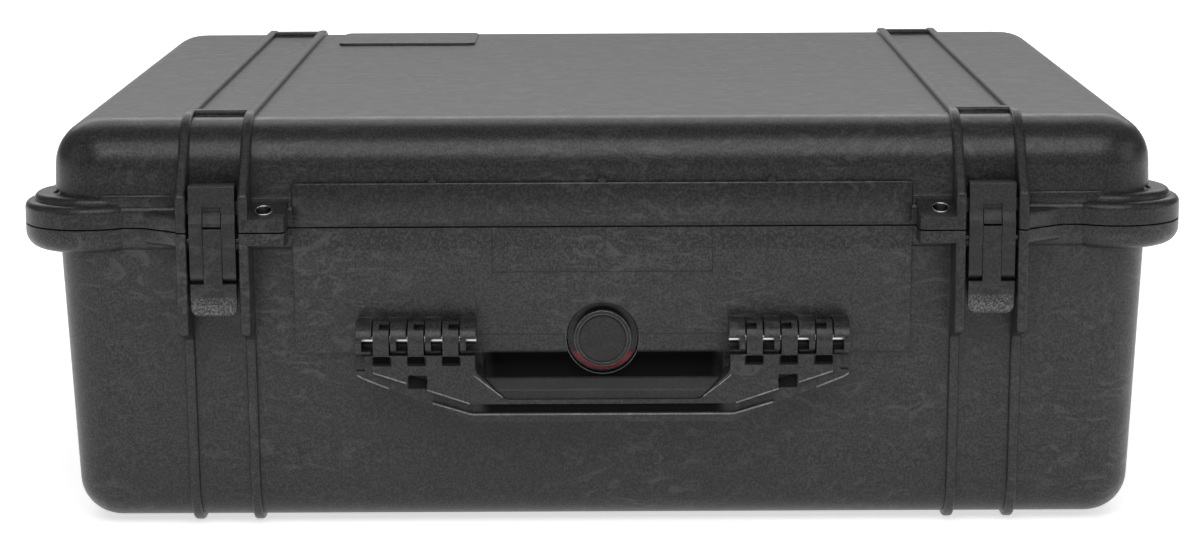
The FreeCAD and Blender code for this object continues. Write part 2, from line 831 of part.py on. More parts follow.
def base_handle_knuckles():
    """The base's handle knuckles, with windows that show the pin."""
    root = -(base_half_depth - S.wall)
    top, low = handle_z + S.handle_knuckle, handle_z - S.handle_knuckle
    root_points = [(root, low), (handle_y, low), (handle_y, top), (root, top)]
    solids, windows = [], []
    for side_name, side in SIDES:
        for index, middle in enumerate(handle_knuckle_middles(0, BASE_KNUCKLES)):
            name = f"handle_seat_{side_name}_{index}"
            solids += knuckle_pieces(name, middle * side, S.handle_knuckle_width, handle_y,
                                     handle_z, S.handle_knuckle, root_points)
            inner = (middle - S.handle_knuckle_width / 2 + S.window_width / 2) * side
            outside = front - S.overrun
            high = handle_z + S.window_rise
            low = high - S.window_height
            points = [(outside, high), (handle_y, high), (handle_y, low), (outside, low)]
            windows.append(plate(f"{name}_window", "YZ_Plane", points, S.window_width, inner))
    return solids, windows


def handle_pin_span():
    """Where a handle pin starts, counted from the middle, and how long it is."""
    middles = handle_knuckle_middles(0, BASE_KNUCKLES)
    inner = middles[-1] - S.handle_knuckle_width / 2
    return inner, middles[0] + S.handle_knuckle_width / 2 - inner


def handle_pin_rods(name, radius):
    """A rod on the handle's axis at each side."""
    inner, length = handle_pin_span()
    rods = []
    for side_name, side in SIDES:
        start = inner if side > 0 else -inner - length
        rods.append(rod(f"{name}_{side_name}", "X", radius, length,
                        (start, handle_y, handle_z)))
    return rods


def recess_block(name, grow, back, outside):
    """The finger recess as a block, grown all round by a wall."""
    half_width = S.recess_half_width + grow
    high = recess_top + grow
    low = recess_top - S.recess_height - grow
    points = [(-half_width, low), (half_width, low), (half_width, high), (-half_width, high)]
    body = new_body(name)
    pad(body, polygon(body, "XZ_Plane", points, -outside), back - outside, backwards=True)
    round_edges(body, S.recess_round + grow, corner_edges("XZ_Plane", points[:2]))
    return body


def latch_pin_rods(name, radius):
    """A rod on the lever pivot of each latch, through both cheeks."""
    length = S.rib_spacing + S.rib_width
    return [rod(f"{name}_{side_name}", "X", radius, length,
                (latch_centre * side - length / 2, lever_pivot_y, lever_pivot_z))
            for side_name, side in SIDES]


def make_base():
    """The lower shell."""
    block = tub("base_block", base_top, S.rib_height, base_half_width, base_half_depth,
                S.plan_corner, S.base_edge_round, S.base_draft_angle)
    rim_low = base_top - S.base_rim_height
    panel, plate_cut = front_panel()
    seats, windows = base_handle_knuckles()
    rim = rim_pieces("base_rim", rim_low, base_top, S.base_rim_round, rim_low)
    fairing_low = base_top - S.fairing_drop
    outer = fuse("base_outer", [block, panel] + rim + base_ribs() + base_ears() + hinge_pieces("base")
                 + seats + fairings("base", fairing_low, base_top, fairing_low))
    mouth = base_top + S.overrun
    spread = lean(S.overrun, S.base_draft_angle)
    cavity = tub("base_cavity", mouth, S.rib_height + S.wall, base_half_width - S.wall + spread,
                 base_half_depth - S.wall + spread, S.plan_corner - S.wall, S.base_edge_round - S.wall,
                 S.base_draft_angle)
    shell = cut("base_open", outer, [cavity])
    bulge = recess_block("recess_bulge", S.wall, boss_back, -base_half_depth + S.wall)
    boss = rod("valve_boss", "Y", S.valve_pocket + S.valve_boss_wall,
               boss_back + base_half_depth - S.wall, (ZERO, -base_half_depth + S.wall / 2, valve_z))
    tongue = ring("base_tongue", groove_half_width, groove_half_depth,
                  S.plan_corner + S.rim_front_reach - S.groove_inset, S.tongue_width,
                  base_top - S.overrun,
                  groove_top - S.seal_height - S.slide_clearance)
    whole = fuse("base_whole", [shell, bulge, boss, tongue])
    recess = recess_block("recess_cut", ZERO, recess_back, front)
    seat_plug = rod("valve_plug", "Y", S.valve_pocket, boss_back - valve_seat_y,
                    (ZERO, valve_seat_y, valve_z))
    carved = cut("base_carved", whole, [recess, plate_cut] + windows)
    seated = fuse("base_seated", [carved, seat_plug])
    pocket = rod("valve_pocket_cut", "Y", S.valve_pocket, valve_seat_y - front,
                 (ZERO, front, valve_z))
    stem_hole = rod("valve_stem_hole", "Y", S.valve_stem_radius + S.pin_clearance,
                    S.case_depth / 4, (ZERO, front, valve_z))
    bores = [pocket, stem_hole]
    bores += handle_pin_rods("base_handle_bore", S.handle_pin_radius + S.pin_clearance)
    bores += latch_pin_rods("base_latch_bore", S.latch_pin_radius + S.pin_clearance)
    bores += ear_holes("base_ear_hole", bush_outer, S.parting_height - S.ear_drop - S.overrun,
                       S.parting_height)
    for side_name, side in SIDES:
        spot, length = hinge_pin_spot(side)
        bores.append(rod(f"base_hinge_bore_{side_name}", "X",
                         S.hinge_pin_radius + S.pin_clearance, length, spot))
    return {"base_shell": cut("base_shell", seated, bores)}


def make_lid():
    """The upper shell, with its groove for the seal."""
    block = tub("lid_block", lid_bottom, lid_top, lid_half_width, lid_half_depth,
                S.plan_corner, S.lid_edge_round, S.lid_draft_angle)
    rim_high = lid_bottom + S.lid_rim_height
    root = -(rim_half_depth - S.band_root)
    band_top = S.parting_height + S.band_height
    band_points = [(-rim_half_depth, lid_bottom), (-rim_half_depth, band_top), (root, band_top),
                   (root, lid_bottom)]
    band = plate("lid_band", "YZ_Plane", band_points, rib_inner * 2, ZERO,
                 [(S.trim_round, (1,))])
    name_pad = slab("name_pad", S.pad_width / 2, S.pad_depth / 2, S.pad_corner, lid_top - S.wall / 2,
                    lid_top + S.pad_height, S.pad_height / 2, lid_top + S.pad_height)
    place(name_pad, (-S.pad_centre_x, S.pad_centre_y, ZERO))
    outer = fuse("lid_outer", [block, band, name_pad]
                 + rim_pieces("lid_rim", lid_bottom, rim_high, S.rim_round, rim_high) + shoulder_pieces()
                 + lid_ribs() + lid_crossbars() + lid_ears() + catch_bars() + band_bumps(band_top)
                 + fairings("lid", lid_bottom, lid_bottom + S.fairing_rise, lid_bottom + S.fairing_rise)
                 + hinge_pieces("lid") + corner_gussets())
    mouth = lid_bottom - S.overrun
    spread = lean(S.overrun, S.lid_draft_angle)
    cavity = tub("lid_cavity", mouth, lid_top - S.wall, lid_half_width - S.wall + spread,
                 lid_half_depth - S.wall + spread, S.plan_corner - S.wall, S.lid_edge_round - S.wall,
                 S.lid_draft_angle)
    groove = ring("lid_groove", groove_half_width, groove_half_depth,
                  S.plan_corner + S.rim_front_reach - S.groove_inset, S.groove_width,
                  lid_bottom - S.overrun, groove_top)
    bores = [cavity, groove]
    bores += ear_holes("lid_ear_hole", S.bush_inner, lid_bottom - S.overrun, eyelet_low + S.overrun)
    bores += ear_holes("lid_ear_seat", bush_outer, eyelet_low, eyelet_high + S.overrun)
    for side_name, side in SIDES:
        spot, length = hinge_pin_spot(side)
        bores.append(rod(f"lid_hinge_bore_{side_name}", "X",
                         S.hinge_pin_radius + S.pin_clearance, length, spot))
    seal = ring("lid_seal", groove_half_width, groove_half_depth,
                S.plan_corner + S.rim_front_reach - S.groove_inset,
                S.groove_width - S.seal_clearance * 2, groove_top - S.seal_height, groove_top)
    return {"lid_shell": cut("lid_shell", outer, bores), "lid_seal": seal}


def make_pins():
    """Hinge, latch and handle pins, and the padlock bushes."""
    nodes = {}
    for side_name, side in SIDES:
        spot, length = hinge_pin_spot(side)
        nodes[f"hinge_pin_{side_name}"] = rod(f"hinge_pin_{side_name}", "X", S.hinge_pin_radius,
                                              length, spot)
    for pin, (side_name, _) in zip(latch_pin_rods("latch_pivot_pin", S.latch_pin_radius), SIDES):
        nodes[f"latch_pivot_pin_{side_name}"] = pin
    for pin, (side_name, _) in zip(handle_pin_rods("handle_pin", S.handle_pin_radius), SIDES):
        nodes[f"handle_pin_{side_name}"] = pin
    for side_name, side in SIDES:
        nodes[f"latch_link_pin_{side_name}"] = rod(
            f"latch_link_pin_{side_name}", "X", S.latch_pin_radius, S.latch_width,
            (latch_centre * side - S.latch_width / 2, link_pivot_y, link_pivot_z))
    spans = {"lid": (eyelet_low, eyelet_high), "base": (S.parting_height - S.ear_drop, base_top)}
    for owner, (low, high) in spans.items():
        bushes = []
        for side_name, side in SIDES:
            spot = (ear_hole_x * side, ear_hole_y)
            outer = rod(f"{owner}_bush_{side_name}_outer", "Z", bush_outer - S.pin_clearance,
                        high - low, spot + (low,))
            bore = rod(f"{owner}_bush_{side_name}_bore", "Z", S.bush_inner,
                       high - low + S.overrun * 2, spot + (low - S.overrun,))
            tools = [bore, ear_slope_cut(side_name, side)] if owner == "lid" else [bore]
            bushes.append(cut(f"{owner}_bush_{side_name}", outer, tools))
        nodes[f"padlock_bushes_{owner}"] = fuse(f"padlock_bushes_{owner}", bushes)
    return nodes


def ear_slope_cut(side_name, side):
    """What stands above the lid ear's sloping top, round its hole."""
    sky = eyelet_high + S.ear_rise
    points = [(front, S.parting_height + S.ear_front_rise), (-rim_half_depth, eyelet_high),
              (-rim_half_depth, sky), (front, sky)]
    return plate(f"eyelet_trim_{side_name}", "YZ_Plane", points, bush_outer * 2 + S.overrun,
                 ear_hole_x * side)


def hook_profile():
    """The side view of a hook's arms, from the top down the front and back up."""
    face = front + S.hook_face_step
    low = link_pivot_z - S.hook_knuckle
    inner = front + S.hook_arm
    cap = face + S.hook_cap_thickness
    crease = S.parting_height - S.hook_crease_drop
    nose = S.parting_height + S.hook_nose_rise
    top = S.parting_height + S.hook_top_rise
    step = front + S.hook_crease_step
    back = link_pivot_y + S.hook_knuckle
    return [
        (face, top),
        (face, S.parting_height + S.hook_band_high),
        (front, S.parting_height + S.hook_band_low),
        (front, crease + S.hook_crease_step),
        (step, crease - S.hook_crease_step),
        (step, low),
        (back, low),
        (back, S.parting_height - S.hook_inner_high),
        (inner, S.parting_height - S.hook_inner_low),
        (inner, S.parting_height + S.hook_cap_low / 2),
        (cap, S.parting_height + S.hook_band_low),
        (cap, nose),
        (face + S.hook_nose_reach, nose),
        (face + S.hook_nose_reach, nose + (top - nose) / 2),
        (face + S.hook_nose_reach - S.hook_round * 2, top),
    ]


def cap_profile():
    """The side view of the bridge that joins a hook's arms above the lever."""
    arm = hook_profile()
    low = S.parting_height + S.hook_cap_low
    return [arm[0], arm[1], arm[2], (front, low), (front + S.hook_face_step + S.hook_cap_thickness, low)] \
        + arm[11:]


def make_hook(side_name, side):
    """A latch hook: two arms on the link pin, a bridge and the nose over the catch."""
    centre = latch_centre * side
    half_tongue = S.tongue_plate_width / 2 + S.slide_clearance / 2
    arm_width = S.latch_width / 2 - half_tongue
    pieces = []
    for edge_name, edge in SIDES:
        middle = centre + (half_tongue + arm_width / 2) * edge
        arm = plate(f"hook_arm_{side_name}_{edge_name}", "YZ_Plane", hook_profile(), arm_width, middle,
                    [(S.hook_knuckle - S.tab_round / 2, (5, 6)), (S.hook_round, (0, 14))])
        pieces.append(arm)
    pieces.append(plate(f"hook_cap_{side_name}", "YZ_Plane", cap_profile(), S.latch_width, centre,
                        [(S.hook_round, (0, 8))]))
    slot_low = S.parting_height + S.hook_slot_low
    slot_high = slot_low + S.hook_slot_height
    face = front + S.hook_face_step
    slot_points = [(front - S.overrun, slot_low), (face + S.hook_slot_depth, slot_low),
                   (face + S.hook_slot_depth, slot_high), (front - S.overrun, slot_high)]
    slot = plate(f"hook_slot_{side_name}", "YZ_Plane", slot_points, S.tongue_plate_width, centre)
    groove_points = [(front - S.overrun, S.parting_height), (face + S.hook_slot_depth, S.parting_height),
                     (face + S.hook_slot_depth, slot_high), (front - S.overrun, slot_high)]
    tools = [slot]
    for edge_name, edge in SIDES:
        middle = centre + (S.tongue_plate_width / 2) * edge
        tools.append(plate(f"hook_groove_{side_name}_{edge_name}", "YZ_Plane", groove_points,
                           S.slide_clearance, middle))
    tools.append(rod(f"hook_bore_{side_name}", "X", S.latch_pin_radius + S.pin_clearance, S.latch_width,
                     (centre - S.latch_width / 2, link_pivot_y, link_pivot_z)))
    return cut(f"latch_hook_{side_name}", fuse(f"hook_{side_name}", pieces), tools)


def make_lever(side_name, side):
    """A latch lever: a tongue on both pins and a full-width finger tab."""
    centre = latch_centre * side
    face = front + S.lever_proud
    back = face + S.lever_tongue_depth
    tab_top = link_pivot_z - S.hook_knuckle - S.slide_clearance
    tab_low = tab_top - S.tab_length
    crown = lever_pivot_z + S.lever_top_rise
    tongue_points = [(face, tab_top - S.tab_length / 2), (face, crown), (back, crown),
                     (back, tab_top - S.tab_length / 2)]
    tongue = plate(f"lever_tongue_{side_name}", "YZ_Plane", tongue_points, S.tongue_plate_width, centre,
                   [(S.tab_round, (1,)), (S.lever_round, (2,))])
    tab_points = [
        (face, tab_top),
        (face, tab_top - S.tab_length / 4),
        (face + S.tab_waist, tab_low + S.tab_length / 3),
        (front, tab_low + S.tab_round),
        (front + S.tab_round, tab_low),
        (front + S.tab_thickness - S.tab_waist, tab_low),
        (front + S.tab_thickness, tab_low + S.tab_length / 3),
        (front + S.tab_thickness, tab_top),
    ]
    tab = plate(f"lever_tab_{side_name}", "YZ_Plane", tab_points, S.latch_width, centre)
    edges = [centre - S.latch_width / 2, centre + S.latch_width / 2]
    low_corners = [(edge, tab_low) for edge in edges]
    round_edges(tab, S.tab_corner, corner_edges("XZ_Plane", low_corners))
    bores = []
    for pin, (hub_y, hub_z) in {"pivot": (lever_pivot_y, lever_pivot_z),
                                "link": (link_pivot_y, link_pivot_z)}.items():
        bores.append(rod(f"lever_{pin}_bore_{side_name}", "X", S.latch_pin_radius + S.pin_clearance,
                         S.latch_width, (centre - S.latch_width / 2, hub_y, hub_z)))
    return cut(f"latch_lever_{side_name}", fuse(f"lever_{side_name}", [tongue, tab]), bores)


def handle_outline(outer_half):
    """The handle seen from the front: an outer edge for the right half, mirrored, and the mouth."""
    mouth = [(S.handle_mouth_half, handle_z - S.handle_mouth_drop),
             (S.handle_inner_half, handle_z - S.handle_shoulder_drop)]
    mirrored = [(-across, up) for across, up in reversed(outer_half)]
    mouth_mirrored = [(-across, up) for across, up in reversed(mouth)]
    return outer_half + mirrored + mouth_mirrored + mouth


def face_outline():
    """The handle's front layer."""
    top = handle_z - S.handle_top_drop
    outer = S.handle_outer - S.handle_face_in
    return handle_outline([
        (S.handle_inner_half, top),
        (outer, top),
        (outer, handle_z - S.handle_shoulder_drop),
        (S.handle_foot_half, handle_z - S.handle_foot_drop),
    ])


def lip_outline():
    """The handle's back layer, which stands out below and beside the front one."""
    top = handle_z - S.handle_top_drop
    outer = S.handle_outer - S.handle_lip_in
    shoulder = handle_z - S.handle_shoulder_drop
    return handle_outline([
        (S.handle_inner_half, top),
        (outer, top),
        (outer, shoulder),
        (S.handle_outer, shoulder),
        (S.handle_outer, shoulder - S.handle_lip_end),
        (S.handle_foot_half, handle_z - S.handle_foot_drop - S.handle_lip_drop),
    ])


def ridge_outline():
    """The front edge of the handle's lip, which comes forward again below the bar."""
    foot = handle_z - S.handle_foot_drop
    crest = foot - S.ridge_drop
    half = [(S.handle_foot_half, crest),
            (S.handle_foot_half + S.ridge_run, crest + S.ridge_rise),
            (S.handle_foot_half, foot - S.handle_lip_drop)]
    return half + [(-across, up) for across, up in reversed(half)]


def knuckle_clearances():
    """Rods that clear the handle's plates from the base's knuckles."""
    width = S.handle_pitch * 2 - S.handle_knuckle_width
    return [rod(f"handle_clearance_{side_name}_{index}", "X", S.handle_knuckle + S.slide_clearance, width,
                (middle * side - width / 2, handle_y, handle_z))
            for side_name, side in SIDES
            for index, middle in enumerate(handle_knuckle_middles(0, BASE_KNUCKLES))]


def make_handle():
    """The folding handle: stepped plates, a bar, knuckles and a rubber grip."""
    face_layer = S.handle_thickness - S.handle_lip
    face_middle = front + S.handle_lip / 2 + S.handle_edge_round / 2
    back_middle = front + S.handle_lip + face_layer / 2
    face = plate("handle_face", "XZ_Plane", face_outline(), S.handle_lip, face_middle,
                 [(S.handle_corner, (3, 4, 8, 9, 10, 11)), (S.handle_edge_round * 2, (2, 5))])
    lip = plate("handle_back", "XZ_Plane", lip_outline(), face_layer, back_middle,
                [(S.handle_corner, (5, 6, 12, 13, 14, 15)), (S.handle_lip_end / 2, (4, 7))])
    ridge = plate("handle_ridge", "XZ_Plane", ridge_outline(), S.handle_thickness - S.handle_edge_round,
                  front + S.handle_thickness / 2 + S.handle_edge_round / 2)
    root_top = handle_z
    plate_top = handle_z - S.handle_top_drop
    inside = front + S.handle_thickness
    root_points = [(front + S.handle_edge_round, plate_top - S.handle_slot_gap),
                   (front + S.handle_edge_round, root_top), (inside, root_top),
                   (inside, plate_top - S.handle_slot_gap)]
    pieces = [cut("handle_plates", fuse("handle_layers", [face, lip, ridge]), knuckle_clearances())]
    slots = []
    for side_name, side in SIDES:
        for index, middle in enumerate(handle_knuckle_middles(1, HANDLE_KNUCKLES)):
            name = f"handle_knuckle_{side_name}_{index}"
            pieces += knuckle_pieces(name, middle * side, S.handle_knuckle_width, handle_y,
                                     handle_z, S.handle_knuckle, root_points)
            slot_top = plate_top - S.handle_slot_gap
            slot_points = [(front - S.overrun, slot_top - S.handle_slot_height),
                           (front + S.handle_lip, slot_top - S.handle_slot_height),
                           (front + S.handle_lip, slot_top), (front - S.overrun, slot_top)]
            slots.append(plate(f"{name}_slot", "YZ_Plane", slot_points, S.handle_pitch, middle * side))
            notch_low = handle_z + S.notch_rise
            notch_points = [(front - S.overrun, notch_low), (handle_y, notch_low),
                            (handle_y, notch_low + S.notch_height),
                            (front - S.overrun, notch_low + S.notch_height)]
            inner = (middle - S.handle_knuckle_width / 2 + S.window_width / 2) * side
            slots.append(plate(f"{name}_notch", "YZ_Plane", notch_points, S.window_width, inner))
        rim_slot = plate(f"handle_rim_slot_{side_name}", "XZ_Plane", [
            (-(S.rim_slot_length / 2), -(S.rim_slot_height / 2)),
            (S.rim_slot_length / 2, -(S.rim_slot_height / 2)),
            (S.rim_slot_length / 2, S.rim_slot_height / 2),
            (-(S.rim_slot_length / 2), S.rim_slot_height / 2)], S.handle_lip * 2)
        place(rim_slot, (S.rim_slot_x * side, front, handle_z - S.rim_slot_drop),
              FreeCAD.Rotation(FreeCAD.Vector(0, 1, 0), -SIZES["rim_slot_turn_angle"] * side))
        slots.append(rim_slot)
    mouth = handle_z - S.handle_mouth_drop
    core_points = [(-S.handle_mouth_half, mouth - S.overrun), (S.handle_mouth_half, mouth - S.overrun),
                   (S.handle_mouth_half, mouth + S.grip_core_height),
                   (-S.handle_mouth_half, mouth + S.grip_core_height)]
    core_middle = inside - S.grip_core / 2
    pieces.append(plate("handle_core", "XZ_Plane", core_points, S.grip_core, core_middle))
    bores = handle_pin_rods("handle_bore", S.handle_pin_radius + S.pin_clearance)
    frame = cut("handle_frame", fuse("handle_whole", pieces), slots + bores)
    return {"handle_frame": frame, "handle_grip": make_grip(mouth, inside)}


def make_grip(mouth, inside):
    """The rubber grip on the handle's inner edge, sloping back towards the fingers."""
    top = mouth + S.grip_height
    back = inside + S.grip_back / 2
    section_points = [
        (front + S.handle_edge_round * 2, mouth),
        (front + S.handle_edge_round * 2, mouth + S.grip_round * 2),
        (front + S.grip_slope, top),
        (back - S.grip_round, top),
        (back, top - S.grip_height / 2),
        (back - S.grip_round, mouth),
    ]
    section = plate("grip_section", "YZ_Plane", section_points, S.handle_inner_half * 2, ZERO,
                    [(S.grip_round, (1, 2, 3)), (S.grip_round / 2, (4,))])
    slope = (S.handle_inner_half.value - S.handle_mouth_half.value) \
        / (S.handle_mouth_drop.value - S.handle_shoulder_drop.value)
    half_top = S.handle_mouth_half + S.grip_height * slope - S.slide_clearance
    half_low = S.handle_mouth_half - S.slide_clearance
    front_view = [(-half_low, mouth), (half_low, mouth), (half_top, top), (-half_top, top)]
    mask = plate("grip_mask", "XZ_Plane", front_view, S.handle_thickness * 4, inside,
                 [(S.handle_corner, (0, 1))])
    body = doc.addObject("Part::Common", "grip_body")
    body.Base = section
    body.Tool = mask
    core_points = [(-S.handle_mouth_half, mouth - S.overrun), (S.handle_mouth_half, mouth - S.overrun),
                   (S.handle_mouth_half, mouth + S.grip_core_height),
                   (-S.handle_mouth_half, mouth + S.grip_core_height)]
    core = plate("grip_core_cut", "XZ_Plane", core_points, S.grip_core, inside - S.grip_core / 2)
    return cut("handle_grip", body, [core])


def make_valve():
    """The pressure valve: gasket, red ring, body, cap, membrane and the nut inside."""
    spot = (ZERO, valve_seat_y, valve_z)
    inner = S.valve_stem_radius - S.valve_stem_wall
    gasket_front = -S.valve_gasket_height
    ring_front = gasket_front - S.valve_ring_height
    body_front = ring_front - S.valve_body_height
    cap_front = body_front - S.valve_cap_height
    boss_run = boss_back - valve_seat_y
    stem_end = boss_run + S.valve_nut_height + S.valve_stem_end
    hole = S.valve_stem_radius + S.pin_clearance
    gasket = turned("valve_gasket", [(gasket_front, hole), (gasket_front, S.valve_cap_radius),
                                     (ZERO, S.valve_cap_radius), (ZERO, hole)], spot)
    red_ring = turned("valve_ring", [(ring_front + S.valve_round, S.valve_ring_radius), (ring_front,
                      S.valve_ring_radius - S.valve_round), (ring_front, hole), (gasket_front, hole),
                      (gasket_front, S.valve_ring_radius)], spot)
    stem_floor = stem_end - S.valve_stem_wall
    stem = turned("valve_stem", [
        (body_front, inner), (body_front, S.valve_cap_radius), (ring_front, S.valve_cap_radius),
        (ring_front, S.valve_stem_radius), (stem_end, S.valve_stem_radius), (stem_end, ZERO),
        (stem_floor, ZERO), (stem_floor, inner)], spot)
    hood_spot = (ZERO, valve_seat_y + body_front, valve_z)
    hood_blank = rod("valve_hood_blank", "Y", S.valve_ring_radius, S.valve_body_height, hood_spot)
    hood_bore = rod("valve_hood_bore", "Y", S.valve_stem_radius, S.valve_body_height, hood_spot)
    below = valve_z - S.valve_pocket
    hood_low = plate("valve_hood_low", "XZ_Plane", [
        (-S.valve_pocket, below), (S.valve_pocket, below), (S.valve_pocket, recess_top),
        (-S.valve_pocket, recess_top)], S.valve_pocket, valve_seat_y + body_front)
    body = fuse("valve_body", [stem, cut("valve_hood", hood_blank, [hood_bore, hood_low])])
    groove_out = S.valve_groove_radius + S.valve_groove_width / 2
    groove_in = S.valve_groove_radius - S.valve_groove_width / 2
    cap = turned("valve_cap", [
        (cap_front, ZERO), (cap_front, groove_in), (cap_front + S.valve_groove_depth, groove_in),
        (cap_front + S.valve_groove_depth, groove_out), (cap_front, groove_out),
        (cap_front, S.valve_cap_radius - S.valve_round),
        (cap_front + S.valve_round, S.valve_cap_radius), (body_front, S.valve_cap_radius),
        (body_front, ZERO)], spot)
    membrane = turned("valve_membrane", [
        (body_front, ZERO), (body_front, inner - S.pin_clearance),
        (body_front + S.valve_membrane_height, inner - S.pin_clearance),
        (body_front + S.valve_membrane_height, ZERO)], spot)
    flats = doc.addObject("Part::Prism", "valve_nut_blank")
    flats.Polygon = 6
    flats.setExpression("Circumradius", f"{S.valve_nut_flats.text} / 2 / cos(30)")
    flats.setExpression("Height", S.valve_nut_height.text)
    place(flats, (ZERO, boss_back, valve_z), TURNS["Y"])
    nut_bore = rod("valve_nut_bore", "Y", hole, S.valve_nut_height + S.overrun * 2,
                   (ZERO, boss_back - S.overrun, valve_z))
    nut = cut("valve_nut", flats, [nut_bore])
    return {"valve_gasket": gasket, "valve_ring": red_ring, "valve_body": body, "valve_cap": cap,
            "valve_membrane": membrane, "valve_nut": nut}


def main():
    nodes = {}
    nodes.update(make_base())
    nodes.update(make_lid())
    nodes.update(make_pins())
    for side_name, side in SIDES:
        nodes[f"latch_hook_{side_name}"] = make_hook(side_name, side)
        nodes[f"latch_lever_{side_name}"] = make_lever(side_name, side)
    nodes.update(make_handle())
    nodes.update(make_valve())
    doc.recompute()
    for thing in doc.Objects:
        if "Invalid" in thing.State or "Error" in thing.State:
            raise ValueError(f"{thing.Name} failed: {thing.State}")
    os.makedirs("parts", exist_ok=True)
    for label, thing in nodes.items():
        thing.Label = label
        shape = thing.Shape
        if shape.isNull() or not shape.isValid():
            raise ValueError(f"{label} has no valid shape")
        shape.exportStep(f"parts/{label}.step")
        print(label, len(shape.Solids), "solids", round(shape.Volume / 1000, 2), "cm3")


main()
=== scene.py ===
"""Protective case: finishes, fine detail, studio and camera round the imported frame.
Metres, +Z up, the front towards -Y, the origin under the middle of the case."""
import math
import bmesh
import bpy
from mathutils import Matrix, Vector


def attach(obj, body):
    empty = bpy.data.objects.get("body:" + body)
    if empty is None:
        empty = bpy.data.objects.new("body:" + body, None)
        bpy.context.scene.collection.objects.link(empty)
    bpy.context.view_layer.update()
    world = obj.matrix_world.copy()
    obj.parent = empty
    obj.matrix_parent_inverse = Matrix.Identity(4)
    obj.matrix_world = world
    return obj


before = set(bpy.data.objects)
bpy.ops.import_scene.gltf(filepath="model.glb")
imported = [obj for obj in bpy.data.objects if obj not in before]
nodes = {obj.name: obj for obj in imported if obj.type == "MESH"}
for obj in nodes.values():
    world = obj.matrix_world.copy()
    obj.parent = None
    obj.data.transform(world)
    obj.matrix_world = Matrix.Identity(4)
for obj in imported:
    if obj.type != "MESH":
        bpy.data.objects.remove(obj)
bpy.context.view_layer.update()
scene = bpy.context.scene
scene.view_settings.view_transform = "Standard"


# Node helpers
LINE_CORE = 0.6
HOLLOW_CORE = 0.85
EDGE_SAMPLES = 4


